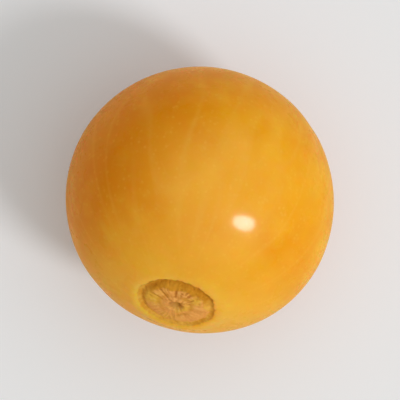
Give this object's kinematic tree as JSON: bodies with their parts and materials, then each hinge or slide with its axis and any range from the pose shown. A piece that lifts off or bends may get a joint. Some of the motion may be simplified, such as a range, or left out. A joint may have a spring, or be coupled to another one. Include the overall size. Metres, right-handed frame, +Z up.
{
  "type": "physalis berry",
  "caption": "Ripe golden berry out of its husk: a nearly round glossy orange fruit with a round stem scar and a small style point, lying on its side.",
  "frame": {"origin": "on the small flat that the berry rests on, straight below the fruit's middle", "axes": "+Z up; the stem scar faces -Y and up, 35 degrees above the horizon, and the style point faces +Y and down"},
  "size_m": [0.0199, 0.0196, 0.0194],
  "materials": {
    "skin": "thin waxy fruit skin, golden orange and softly translucent, glossy; the stem scar is matt, tan and olive-brown"
  },
  "bodies": {
    "root": {"berry": "skin"}
  },
  "joints": []
}
